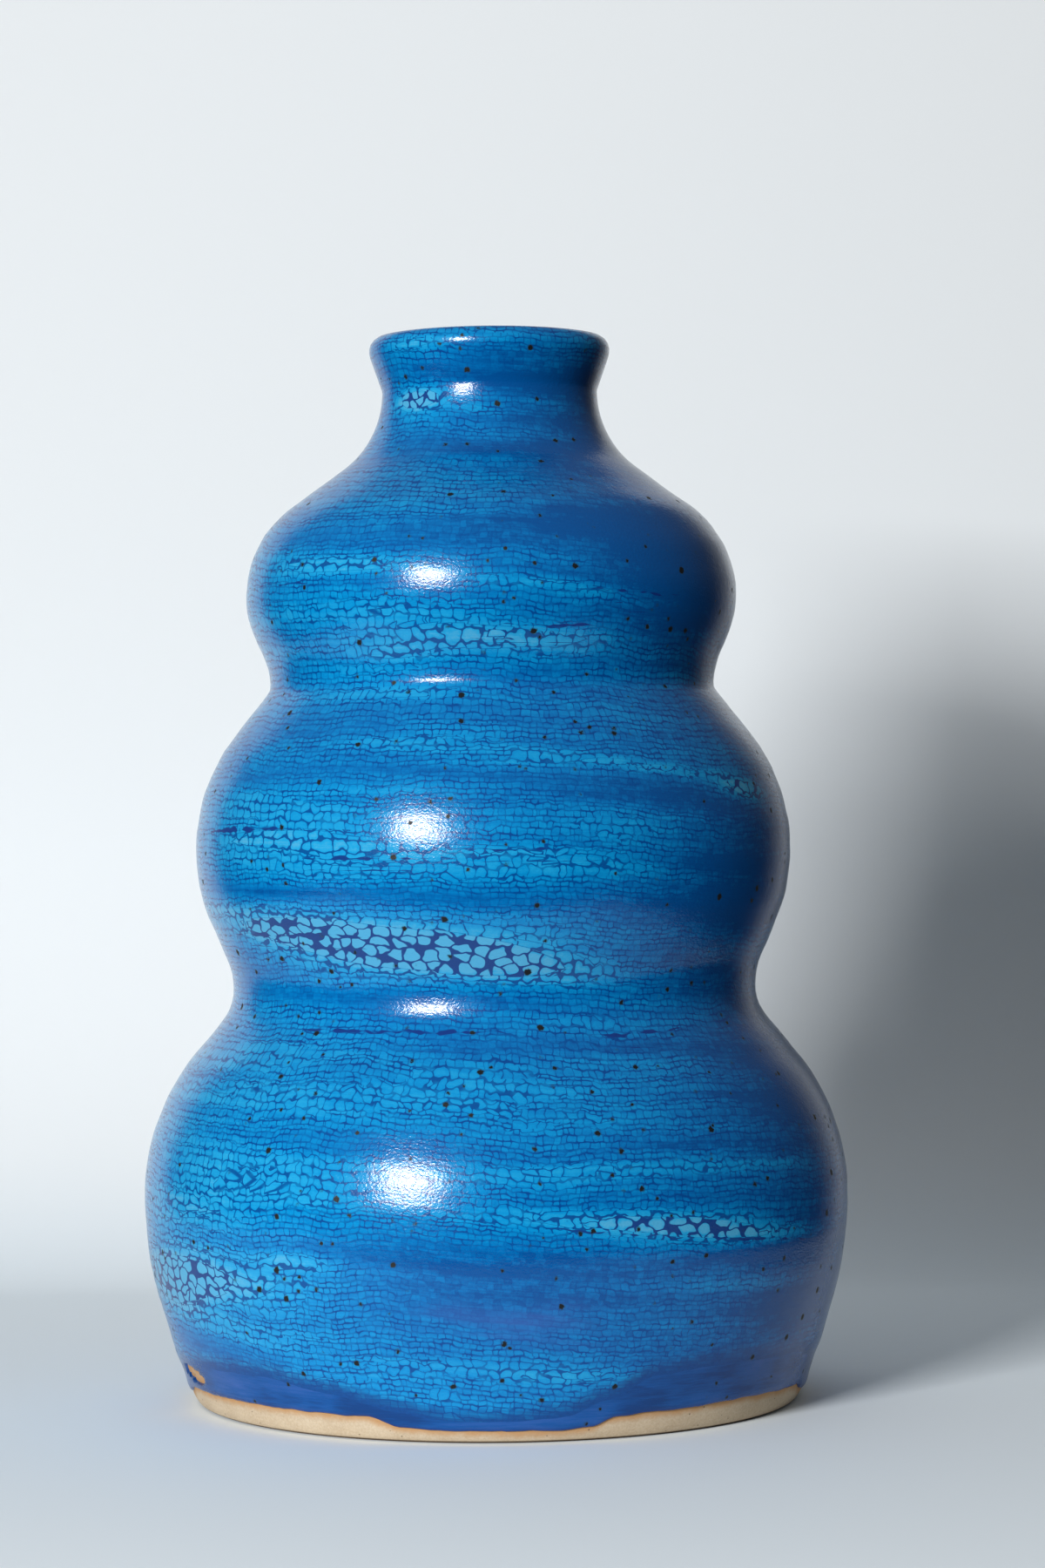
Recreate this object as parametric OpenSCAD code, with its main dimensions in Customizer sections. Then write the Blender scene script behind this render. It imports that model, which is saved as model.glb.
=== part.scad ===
// Wheel-thrown stoneware vase with three stacked lobes, a drawn-in neck and a rolled lip.
// Millimetres, +Z up. The origin is the centre of the foot, on the plane that the vase stands on.
// Radii and heights are those of the bare clay. The glaze coats lie on it, face to face.

/* [Whole vase] */
// Height of the glazed vase, from the table to the top of the lip
vase_h = 200; // [195:0.5:210]

/* [Foot] */
// Radius of the clay at the top of the sponged bevel round the foot
foot_r = 57.4; // [54:0.1:60]
// Width of the sponged bevel
foot_bevel_w = 0.9; // [0.4:0.1:2]
// Height of the sponged bevel
foot_bevel_h = 2; // [1:0.1:4]
// Width of the ring that touches the table
foot_ring_w = 7.5; // [4:0.1:14]
// Depth of the trimmed hollow inside the ring
foot_recess_h = 3; // [1:0.1:5]
// Width of the slope from the ring up into the hollow
foot_recess_slope_w = 2.2; // [0.5:0.1:5]

/* [Lower lobe] */
// Radius of the clay at the widest line of the lower lobe
lower_lobe_r = 65.6; // [62:0.1:72]
// Rise from the foot bevel to that line
lower_lobe_rise = 36.5; // [30:0.1:44]
// Share of the rise that is bent, the rest runs straight up from the foot
lower_flank_bend_share = 0.79; // [0.5:0.01:0.95]
// Radius of the clay at the lower waist
lower_waist_r = 48.6; // [42:0.1:54]
// Rise from the widest line to the lower waist
lower_waist_rise = 38.9; // [32:0.1:46]
// Share of the bend that the lobe takes, the waist takes the rest
lower_shoulder_split_share = 0.8; // [0.4:0.01:0.9]
// Share of the shoulder that is bent, the rest is straight
lower_shoulder_bend_share = 0.96; // [0.6:0.01:0.98]

/* [Middle lobe] */
// Radius of the clay at the widest line of the middle lobe
middle_lobe_r = 55.4; // [52:0.1:60]
// Rise from the lower waist to that line
middle_lobe_rise = 25.9; // [20:0.1:32]
// Share of the bend that the waist takes, the lobe takes the rest
middle_flank_split_share = 0.29; // [0.15:0.01:0.6]
// Share of the flank that is bent, the rest is straight
middle_flank_bend_share = 0.92; // [0.6:0.01:0.98]
// Radius of the clay at the upper waist
upper_waist_r = 41.2; // [36:0.1:46]
// Rise from the widest line to the upper waist
upper_waist_rise = 30.6; // [25:0.1:36]
// Share of the bend that the lobe takes, the crease at the waist takes the rest
middle_shoulder_split_share = 0.94; // [0.5:0.01:0.95]
// Share of the shoulder that is bent, the rest is straight
middle_shoulder_bend_share = 0.91; // [0.6:0.01:0.98]

/* [Upper lobe] */
// Radius of the clay at the widest line of the upper lobe
upper_lobe_r = 45.6; // [43:0.1:50]
// Rise from the upper waist to that line
upper_lobe_rise = 17; // [13:0.1:22]
// Share of the bend that the waist takes, the lobe takes the rest
upper_flank_split_share = 0.45; // [0.2:0.01:0.7]
// Share of the flank that is bent, the rest is straight
upper_flank_bend_share = 0.96; // [0.6:0.01:0.98]

/* [Neck and lip] */
// Radius of the clay at the narrowest line of the neck
neck_r = 19.5; // [16:0.1:23]
// Share of the bend that the lobe takes, the hollow of the neck takes the rest
neck_split_share = 0.52; // [0.3:0.01:0.7]
// Share of the shoulder that is bent, the rest is straight
neck_bend_share = 0.93; // [0.6:0.01:0.98]
// How far the lip flares out past the neck
lip_flare = 2.4; // [1:0.1:4]
// Rise from the neck's narrowest line to the middle of the rolled lip. The neck hangs from the
// lip, and the shoulder under it takes what the vase's height leaves
lip_rise = 7.8; // [6:0.1:12]
// Radius of the rolled lip
lip_roll_r = 1.8; // [1.4:0.1:2.4]
// Length of the straight throat inside the neck, up from its narrowest line
throat_l = 4; // [2:0.1:5]
// Share of the flare's bend that the neck takes, the underside of the lip takes the rest
lip_split_share = 0.3; // [0.25:0.01:0.6]
// Share of the flare that is bent, the rest is straight
lip_bend_share = 0.4; // [0.35:0.01:0.9]

/* [Wall] */
// Thickness of the wall from the foot to the widest line of the lower lobe
wall_low = 5.6; // [4:0.1:7]
// Thickness of the wall at the neck, which it thins to evenly
wall_neck = 3.9; // [3:0.1:5]
// Thickness of the floor over the trimmed hollow
floor_t = 6.4; // [4:0.1:9]
// Radius of the corner between the floor and the wall inside
floor_corner_r = 8; // [4:0.1:10]

/* [Glaze] */
// Thickness of the dark base coat
base_coat_t = 0.45; // [0.2:0.05:0.6]
// Thickness of the light second coat that has shrunk into cells
crackle_coat_t = 0.35; // [0.2:0.05:0.5]
// Thickness of the coat inside the vase
liner_coat_t = 0.4; // [0.2:0.05:0.6]

/* [Glaze edges] */
// Height above the foot bevel of the lowest tongues of the base coat
base_coat_edge_h = 0.3; // [0.2:0.1:2]
// Height of the highest arch in the edge of the base coat, which is also the radius of its ends
base_arch_h = 2.4; // [0.5:0.1:3]
// Height above the tongues of the base coat of the lowest tongues of the second coat
crackle_coat_edge_h = 0.8; // [0.5:0.1:3]
// Height of the highest arch in the edge of the second coat
crackle_arch_h = 9.2; // [3:0.1:10]
// Height above the foot bevel of the finger mark, where both coats are missing
finger_mark_z = 5.5; // [4:0.1:8]
// Length of the finger mark round the vase
finger_mark_l = 10.5; // [6:0.5:18]
// Height of the finger mark
finger_mark_h = 2; // [1.2:0.1:3.4]

/* [Hidden] */
// Facets of a full turn
$fn = 96;
// Largest gap between a bend and the straight line between two of its points
bend_gap = 0.06;

// Heights of the lines that the outline is led through
foot_z = foot_bevel_h;
lower_lobe_z = foot_z + lower_lobe_rise;
lower_waist_z = lower_lobe_z + lower_waist_rise;
middle_lobe_z = lower_waist_z + middle_lobe_rise;
upper_waist_z = middle_lobe_z + upper_waist_rise;
upper_lobe_z = upper_waist_z + upper_lobe_rise;
lip_z = vase_h - base_coat_t - crackle_coat_t - lip_roll_r;
neck_z = lip_z - lip_rise;
lip_r = neck_r + lip_flare;
throat_r = neck_r - wall_neck;
mouth_r = lip_r - 2 * lip_roll_r;
floor_z = foot_recess_h + floor_t;
throat_top_z = neck_z + throat_l;
base_coat_edge_z = foot_z + base_coat_edge_h;
crackle_coat_edge_z = base_coat_edge_z + crackle_coat_edge_h;

// Arches in the edge of each coat: the angle round the vase from the front, in degrees, then
// half the arch's width as a share of the foot's radius, and its height as a share of the highest
base_arch_shares = [[-48, 0.45, 1], [47, 0.47, 1], [112, 0.45, 0.7], [180, 0.46, 0.9], [-114, 0.44, 0.8]];
crackle_arch_shares = [[-50, 0.72, 0.78], [50, 0.68, 1], [122, 0.53, 0.6], [188, 0.5, 0.8], [-128, 0.47, 0.5]];
// Angle of the finger mark round the vase from the front, and its slope down to the right
finger_mark_turn = -70;
finger_mark_slope = 6;

// The outline's lines, [radius, height], from the foot up to the neck
lines = [
    [foot_r, foot_z],
    [lower_lobe_r, lower_lobe_z],
    [lower_waist_r, lower_waist_z],
    [middle_lobe_r, middle_lobe_z],
    [upper_waist_r, upper_waist_z],
    [upper_lobe_r, upper_lobe_z],
    [neck_r, neck_z]
];
// Between two lines: the share of the bend at the lower one, and the share that is bent at all
link_shares = [
    [0, lower_flank_bend_share],
    [lower_shoulder_split_share, lower_shoulder_bend_share],
    [middle_flank_split_share, middle_flank_bend_share],
    [middle_shoulder_split_share, middle_shoulder_bend_share],
    [upper_flank_split_share, upper_flank_bend_share],
    [neck_split_share, neck_bend_share]
];

// A link leaves p and reaches q running straight up: a bend, a straight run and a counter bend.
// The two bend radii together, at most the sum at which the bends meet without a straight run
function radii_sum(p, q, bend) =
    bend * (pow(q.x - p.x, 2) + pow(q.y - p.y, 2)) / (2 * abs(q.x - p.x));

// The angle that both bends turn through
function link_turn(p, q, radii) =
    let (
        side = abs(q.x - p.x),
        rise = q.y - p.y,
        run = sqrt(side * side - 2 * side * radii + rise * rise)
    )
    atan2(side - radii, rise) + atan2(radii, run);

// How many equal steps a bend takes, so that no step strays further than the gap
function bend_steps(r, turn) = ceil(turn / (2 * acos(1 - bend_gap / max(r, 2 * bend_gap))));

// Points of a link as [radius, height, normal's radius, normal's height], without q itself
function link(p, q, shares) =
    let (
        way = sign(q.x - p.x),
        radii = radii_sum(p, q, shares[1]),
        low_r = radii * shares[0],
        high_r = radii - low_r,
        turn = link_turn(p, q, radii),
        low_steps = bend_steps(low_r, turn),
        high_steps = bend_steps(high_r, turn),
        low_first = low_r > 0 ? 0 : low_steps
    )
    concat(
        [for (i = [low_first : low_steps]) let (a = turn * i / low_steps)
            [p.x + way * low_r * (1 - cos(a)), p.y + low_r * sin(a), cos(a), -way * sin(a)]],
        [for (i = [high_steps : -1 : 1]) let (a = turn * i / high_steps)
            [q.x - way * high_r * (1 - cos(a)), q.y - high_r * sin(a), cos(a), -way * sin(a)]]
    );

// Outside of the clay from the foot bevel up to just under the neck's narrowest line
flank_path = [for (i = [0 : len(link_shares) - 1]) each link(lines[i], lines[i + 1], link_shares[i])];

// Outside of the flare, from the neck's narrowest line to just under the lip's widest
flare_path = link([neck_r, neck_z], [lip_r, lip_z], [lip_split_share, lip_bend_share]);

// The rolled lip, from its widest line over the top, through a given angle
function roll_path(last) =
    let (steps = bend_steps(lip_roll_r, last))
    [for (i = [0 : steps]) let (a = last * i / steps)
        [lip_r - lip_roll_r + lip_roll_r * cos(a), lip_z + lip_roll_r * sin(a), cos(a), sin(a)]];

// A path run backwards
function backwards(path) = [for (i = [len(path) - 1 : -1 : 0]) path[i]];

// A path with its normals turned to face the axis
function facing_in(path) = [for (p = path) [p[0], p[1], -p[2], -p[3]]];

// Inside of the mouth, from just under the roll down to the throat
mouth_path = facing_in(backwards(link([throat_r, throat_top_z], [mouth_r, lip_z],
    [lip_split_share, lip_bend_share])));

// Thickness of the wall at a height
function wall_at(z) =
    wall_low + (wall_neck - wall_low) * max(0, z - lower_lobe_z) / (neck_z - lower_lobe_z);

// Inside of the wall, from just under the throat down to the straight run over the foot
wall_path = backwards([for (i = [1 : len(flank_path) - 1]) let (p = flank_path[i], t = wall_at(p[1]))
    [p[0] - t * p[2], p[1] - t * p[3], -p[2], -p[3]]]);

// The corner inside touches the floor and the straight run of the wall
flank_lean = link_turn(lines[0], lines[1], radii_sum(lines[0], lines[1], lower_flank_bend_share));
corner_z = floor_z + floor_corner_r;
corner_r = foot_r - (wall_low + floor_corner_r) * cos(flank_lean)
    + (corner_z - foot_z - (wall_low + floor_corner_r) * sin(flank_lean)) * tan(flank_lean);
corner_turn = 90 - flank_lean;
corner_steps = bend_steps(floor_corner_r, corner_turn);
corner_path = [for (i = [0 : corner_steps]) let (a = flank_lean + corner_turn * i / corner_steps)
    [corner_r + floor_corner_r * cos(a), corner_z - floor_corner_r * sin(a), -cos(a), sin(a)]];

// The whole inside below the throat, from the throat to the middle of the floor
inside_path = concat([[throat_r, neck_z, -1, 0]], wall_path, corner_path, [[0, floor_z, 0, 1]]);

// The part of a rising path above a height, with a first point at that height
function above(path, z) =
    let (
        kept = [for (p = path) if (p[1] > z) p],
        last = path[len(path) - len(kept) - 1],
        share = (z - last[1]) / (kept[0][1] - last[1])
    )
    concat([last + (kept[0] - last) * share], kept);

// The points of a path, moved out from the clay by t
function skin(path, t = 0) = [for (p = path) [p[0] + t * p[2], p[1] + t * p[3]]];

// A coat on a path, from one distance to another
module coat(path, from_t, to_t) {
    rotate_extrude()
        polygon(concat(skin(path, from_t), backwards(skin(path, to_t))));
}

// A cut through the coats that points out from the axis, at an angle round the vase and a height
module cut_out(turn, z) {
    rotate([0, 0, turn])
        translate([0, -foot_r / 3, z])
            rotate([90, 0, 0])
                linear_extrude(foot_r)
                    children();
}

// Long low arches with round ends, where the brush stopped short of the base coat's edge
module brushed_arches(shares, edge_z, top_h) {
    for (arch = shares) {
        half_w = arch[1] * foot_r;
        arch_h = arch[2] * top_h;
        end = half_w - arch_h;
        cut_out(arch[0], edge_z) {
            square([2 * end, 2 * arch_h], center = true);
            for (x = [-end, end])
                translate([x, 0])
                    circle(arch_h);
        }
    }
}

// Arches of one wide bend each, where the second coat runs out
module bent_arches(shares, edge_z, top_h) {
    for (arch = shares) {
        half_w = arch[1] * foot_r;
        arch_h = arch[2] * top_h;
        arch_r = (half_w * half_w + arch_h * arch_h) / (2 * arch_h);
        cut_out(arch[0], edge_z + arch_h - arch_r)
            circle(arch_r, $fn = 4 * $fn);
    }
}

// The finger mark, a sloping slot with round ends
module finger_mark() {
    mark_r = finger_mark_h / 2;
    side = finger_mark_l / 2 - mark_r;
    cut_out(finger_mark_turn, foot_z + finger_mark_z)
        rotate(-finger_mark_slope) {
            square([2 * side, finger_mark_h], center = true);
            for (x = [-side, side])
                translate([x, 0])
                    circle(mark_r);
        }
}

// The thrown and trimmed clay, from the foot to the lip
module stoneware_body() {
    ring_outer_r = foot_r - foot_bevel_w;
    ring_inner_r = ring_outer_r - foot_ring_w;
    foot_points = [
        [0, foot_recess_h],
        [ring_inner_r - foot_recess_slope_w, foot_recess_h],
        [ring_inner_r, 0],
        [ring_outer_r, 0]
    ];
    color([0.80, 0.66, 0.50])
        rotate_extrude()
            polygon(concat(
                foot_points,
                skin(concat(flank_path, flare_path, roll_path(180), mouth_path, inside_path))
            ));
}

// The coat poured inside, from the floor to the throat
module liner_glaze() {
    color([0.16, 0.32, 0.52])
        coat(inside_path, 0, liner_coat_t);
}

// The dark coat outside, over the lip and down to the throat
module base_glaze() {
    color([0.05, 0.26, 0.52])
        difference() {
            coat(
                concat(above(flank_path, base_coat_edge_z), flare_path, roll_path(180), mouth_path,
                    [[throat_r, neck_z, -1, 0]]),
                0, base_coat_t
            );
            brushed_arches(base_arch_shares, base_coat_edge_z, base_arch_h);
            finger_mark();
        }
}

// The light coat over the dark one, from above its lower edge to the top of the lip
module crackle_glaze() {
    color([0.20, 0.58, 0.80])
        difference() {
            coat(
                concat(above(flank_path, crackle_coat_edge_z), flare_path, roll_path(90)),
                base_coat_t, base_coat_t + crackle_coat_t
            );
            bent_arches(crackle_arch_shares, crackle_coat_edge_z, crackle_arch_h);
            finger_mark();
        }
}

stoneware_body();
liner_glaze();
base_glaze();
crackle_glaze();
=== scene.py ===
import math

import bpy
from bpy.props import FloatProperty, FloatVectorProperty, IntProperty, PointerProperty
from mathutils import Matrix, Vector, noise


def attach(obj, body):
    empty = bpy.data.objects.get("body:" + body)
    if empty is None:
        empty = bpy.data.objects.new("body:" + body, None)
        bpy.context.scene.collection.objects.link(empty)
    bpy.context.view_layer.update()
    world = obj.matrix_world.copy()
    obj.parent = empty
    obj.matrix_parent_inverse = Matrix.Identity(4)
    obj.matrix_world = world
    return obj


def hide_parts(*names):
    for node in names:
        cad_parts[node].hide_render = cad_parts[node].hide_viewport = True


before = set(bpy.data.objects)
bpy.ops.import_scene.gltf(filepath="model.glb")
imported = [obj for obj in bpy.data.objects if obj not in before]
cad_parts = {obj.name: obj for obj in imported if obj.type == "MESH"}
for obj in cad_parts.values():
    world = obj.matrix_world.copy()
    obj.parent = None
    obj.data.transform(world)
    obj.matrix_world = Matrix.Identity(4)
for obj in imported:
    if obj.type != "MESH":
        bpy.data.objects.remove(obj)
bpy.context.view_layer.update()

bl_info = {
    "name": "Lobed stoneware vase",
    "version": (1, 0, 0),
    "blender": (4, 5, 0),
    "location": "3D View > Sidebar > Vase",
    "description": "A thrown stoneware vase with three lobes and a crackled blue glaze",
    "category": "Add Mesh",
}

MM = 0.001

# Heights of the base coat's lower edge round the vase: the angle from the front in degrees, then mm.
# Two plateaus where the brush stopped high, and a tongue between them at the front.
BASE_EDGE = [
    (-180, 4.5), (-158, 4.4), (-151, 2.7), (-143, 2.5), (-138, 4.1), (-93, 4.3), (-86, 3), (-79, 3),
    (-73, 4.6), (-46, 4.7), (-23, 4.6), (-16.5, 2.9), (-8, 2.5), (12, 2.3), (16.5, 2.6), (21, 4.3),
    (30, 4.6), (47, 4.9), (70, 4.5), (77, 2.7), (84, 2.7), (89, 3.9), (134, 4), (140, 2.6), (150, 2.5),
    (156, 4.3),
]
# Heights of the crackle coat's lower edge, in the same way
CRACKLE_EDGE = [
    (-180, 9.8), (-160, 6.4), (-128, 7.4), (-104, 4.4), (-92, 4.4), (-72, 8.6), (-58, 10.1), (-42, 10.3),
    (-29, 8.5), (-18, 5.9), (-6, 3.6), (4, 3.7), (12, 4.9), (19, 7.6), (28, 11.5), (39, 12.2), (60, 11.8),
    (84, 8), (96, 5.4), (122, 8.4), (150, 5.6), (166, 8.6),
]
# Places where the brush left the crackle coat heavy or thin: the angle round the vase and the height of
# the middle, half the length in degrees, half the height in mm, the slope in mm per degree, the load
# The thin strokes on the right, from about 44 to 66 degrees round, are partly a thin coat and partly painted
# shade on the side away from the lamp
STROKES = [
    (-24, 87.2, 34, 4.6, -0.085, 0.8), (4, 83.6, 26, 4.2, -0.1, 0.44), (-52, 90, 22, 3, -0.02, 0.34),
    (-30, 103.4, 30, 3.6, -0.01, 0.34), (-46, 106.2, 24, 1.8, 0, 0.26), (14, 102, 34, 3.4, -0.02, 0.24),
    (26, 108, 28, 2.6, -0.03, 0.2), (-34, 111, 26, 2.4, 0, 0.16), (-34, 98.8, 30, 1, 0, 0.2),
    (3, 119.4, 16, 1.3, -0.03, 0.24), (-20, 122.8, 18, 1.4, -0.06, 0.26), (34, 118.2, 34, 1.1, -0.12, 0.44),
    (58, 114, 10, 2.6, -0.15, 0.74), (-38, 155.2, 26, 1.4, -0.02, 0.44), (14, 151, 30, 1.3, -0.08, 0.34),
    (-20, 147.2, 40, 2.4, 0, 0.16), (0, 142.4, 28, 2.6, -0.04, 0.5), (-24, 139.4, 16, 1.8, 0.02, 0.34),
    (-22, 131.8, 30, 1.6, 0, 0.28), (-39, 187, 22, 3.1, 0, 1.04), (0, 189.5, 200, 8, 0, -0.2),
    (-6, 184.6, 14, 0.9, -0.05, 0.34), (-40, 196.8, 26, 1.5, 0, 0.5), (-64, 26.4, 16, 5.6, 0.04, 1),
    (-42, 28, 20, 4.6, 0.04, 0.36), (-32, 32.4, 8, 2, 0, 0.44), (-60, 40, 22, 4, 0, 0.22),
    (24, 38.6, 26, 2.3, -0.12, 0.44), (38, 36.8, 22, 2.6, -0.12, 0.55), (28, 48.2, 30, 2, -0.02, 0.34),
    (52, 46.6, 20, 1.6, 0, 0.16), (-50, 46.5, 26, 6, 0, 0.26), (-8, 45.5, 24, 5, 0, 0.14),
    (50, 26.6, 26, 2.6, 0.02, 0.26), (2, 14.8, 16, 2.6, 0, 0.26), (14, 12.4, 12, 2.2, -0.02, 0.34),
    (-40, 18, 26, 3, -0.05, 0.22), (34, 20, 16, 2, -0.05, 0.16), (-10, 63, 70, 5, 0, 0.1),
    (-52, 67, 26, 3, 0, 0.1), (-4, 33, 34, 4.4, -0.04, -0.4), (2, 25.6, 32, 4.2, -0.02, -0.26),
    (56, 32, 30, 2, 0, -0.3), (40, 19, 40, 4, 0, -0.1), (-60, 14.5, 26, 2, 0, -0.24),
    (26, 171, 50, 7, 0, -0.22), (-40, 160.5, 40, 2, 0, -0.14), (20, 160, 60, 3.6, 0, -0.22),
    (48, 150, 26, 8, 0, -0.3), (30, 190.4, 44, 3, 0, -0.3), (0, 176.4, 120, 2.2, 0, -0.18),
    (34, 136, 40, 3, 0, -0.2), (-40, 127.4, 36, 2.6, 0.02, -0.22), (14, 115.2, 40, 1.9, -0.07, -0.36),
    (-44, 117.6, 26, 2.2, 0, -0.16), (-46, 96.4, 28, 1.5, 0, -0.5), (0, 94.6, 30, 1.6, -0.03, -0.28),
    (46, 93, 30, 4.6, 0, -0.2), (52, 82, 30, 4, 0, -0.26), (-20, 77.4, 70, 2, 0, -0.32),
    (-64, 80, 22, 4, 0, -0.16), (44, 105, 16, 10, 0, -0.14), (66, 180, 34, 12, 0, -0.28),
    (64, 156, 26, 13, 0, -0.36), (60, 104, 26, 9, 0, -0.34), (64, 90, 28, 8, 0, -0.34),
    (66, 60, 28, 13, 0, -0.34), (66, 24, 28, 9, 0, -0.36), (30, 163, 30, 3, 0, -0.24),
    (14, 69, 60, 1.6, -0.01, -0.16), (110, 88, 40, 4, 0.05, 0.6), (160, 104, 40, 3.6, -0.04, 0.4),
    (-140, 112, 36, 2.6, 0.04, 0.5), (130, 42, 44, 3, -0.03, 0.52), (-150, 30, 40, 5, 0.03, 0.58),
    (-120, 52, 36, 3, 0, 0.34), (170, 56, 30, 2.4, 0, 0.4), (120, 150, 40, 2.4, 0.02, 0.48),
    (-160, 144, 40, 2.6, 0, 0.52), (-110, 156, 34, 1.8, 0, 0.34), (150, 187, 50, 2, 0, 0.52),
    (-130, 20, 30, 3, 0, -0.3), (140, 24, 50, 4, 0, -0.34), (-150, 70, 50, 3, 0, -0.28),
    (140, 122, 50, 2.6, 0.03, -0.3), (-160, 170, 90, 7, 0, -0.22), (100, 74, 40, 2.4, 0, -0.3),
    (-100, 92, 34, 2.6, 0, 0.44),
]
# How far a stroke is felt, in times its half length or half height, and how sharply it fades
STROKE_REACH = 2.2
STROKE_FADE = 1.2
# Strokes are sorted into layers this high, in mm
LAYER = 5
# Long cracks that opened wide: the angle and the height of the middle, half the length in degrees, half
# the width in mm, the slope in mm per degree
RIFTS = [
    (-20, 71.8, 26, 0.27, 0), (30, 71, 12, 0.26, 0.03), (-54, 107.6, 16, 0.3, 0.01),
    (-24, 102.6, 14, 0.36, 0), (10, 104.2, 16, 0.26, 0.01), (-44, 88.6, 22, 0.34, 0),
    (12, 143.8, 16, 0.26, 0), (34, 149.8, 16, 0.24, -0.04), (20, 37.2, 14, 0.16, -0.12),
    (46, 34.4, 16, 0.2, -0.12), (-58, 152.4, 14, 0.22, 0), (120, 72, 24, 0.3, 0.02),
    (-150, 104, 20, 0.34, 0), (160, 88.4, 22, 0.3, 0), (-130, 30.6, 20, 0.3, 0), (170, 140, 24, 0.3, 0.02),
]
# The bare spot that a finger left low on the left
MARK_TURN = -70.0
MARK_HEIGHT = 7.5 * MM
MARK_LENGTH = 10.5 * MM
MARK_RISE = 2.0 * MM
MARK_SLOPE = -0.105
# A coat's edge, held as it is this far up, then blended into the coat above
EDGE_HELD = 3 * MM
# For each run of the flank from the foot up: the lower bend's share of the bends, and how bent it is
FLANK_BENDS = [(0, 0.79), (0.8, 0.96), (0.29, 0.92), (0.94, 0.91), (0.45, 0.96), (0.52, 0.93)]
LIP_BENDS = (0.3, 0.4)
# Heights between which the outline is hollow: the two waists, then the neck and the lip
HOLLOWS = ((60 * MM, 94 * MM), (118 * MM, 148 * MM), (164 * MM, 1.0))
# Above this height the neck is so narrow that its facets have to be short
NARROW = 184 * MM
# The ring under the foot, in mm from its inner and its outer line: its rounded inner edge and its bevel
RING_INNER_EDGE = [(-0.7, 0.9), (-0.25, 0.25), (0.3, 0.04), (1.0, 0.0)]
RING_FLAT = (0.3, 0.5, 0.7, 0.84)
RING_BEVEL = [(-1.15, 0.14), (-0.45, 0.28), (-0.15, 0.42), (0.16, 0.74), (0.54, 1.3)]
# The tracks of the trimming tool in the hollow under the foot
TRACK_DEPTH = 0.14 * MM
TRACK_WIDTH = 2.9 * MM
TRACK_POINTS = 70
# The camera's lens in mm on a sensor 36 mm wide, and its pitch: 90 degrees looks level
CAMERA_LENS = 91.73
CAMERA_PITCH = math.radians(90 - 0.041)
# The height that the lamp points at, and the tint of the weak light from all round
LAMP_AIM_HEIGHT = 0.1
FILL_TINT = (0.93, 0.97, 1.0, 1.0)
# How far the table's front edge is rounded
FRONT_ROUNDING = 1.2 * MM
# The values below are for the recipes, and their lengths are in mm.
# The radius that the pattern of round cells is unrolled with, and how it changes at a height
FIRST_GIRTH = 62.0
GIRTHS = ((74.0, -11.0), (125.5, -7.0), (165.0, -18.0))
# The radius that streaks of the brush are drawn out along
MEAN_RADIUS = 52.0
# The room round an iron speck
SPECK_ROOM = 3.3
# How much wider than high a round cell is
CELL_STRETCH = 1.45
# How uneven rows are in height, and the cells in a row in width
ROW_LOOSE = 0.8
BRICK_LOOSE = 0.9
# How far one row's pattern of cells is from the next one's
ROW_START = 91.7
# The load at a cell's middle from which the cell is of the next larger size
MIDDLE_FROM = 0.49
SMALL_FROM = 0.64
LARGE_FROM = 0.88
SWITCH = 0.01
# Half the width of the cracks between cells of each size
FINE_CRACK = 0.06
MIDDLE_CRACK = 0.08
WIDE_CRACK = 0.12


def tint(code):
    """A colour as a painter's hex code, made linear."""
    parts = [int(code[i:i + 2], 16) / 255 for i in (0, 2, 4)]
    return tuple(p / 12.92 if p <= 0.04045 else ((p + 0.055) / 1.055) ** 2.4 for p in parts)


def length(label, about, value, most=1.0):
    """A length that the sidebar shows, in metres."""
    return FloatProperty(
        name=label, description=about, default=value, min=0.0, max=most, precision=5,
        subtype="DISTANCE", unit="LENGTH",
    )


def angle(label, about, degrees):
    """An angle that the sidebar shows."""
    return FloatProperty(
        name=label, description=about, default=math.radians(degrees), subtype="ANGLE", unit="ROTATION",
    )


def colour(label, about, code):
    """A colour that the sidebar shows."""
    return FloatVectorProperty(
        name=label, description=about, default=tint(code), min=0.0, max=1.0, size=3, subtype="COLOR",
    )


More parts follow.
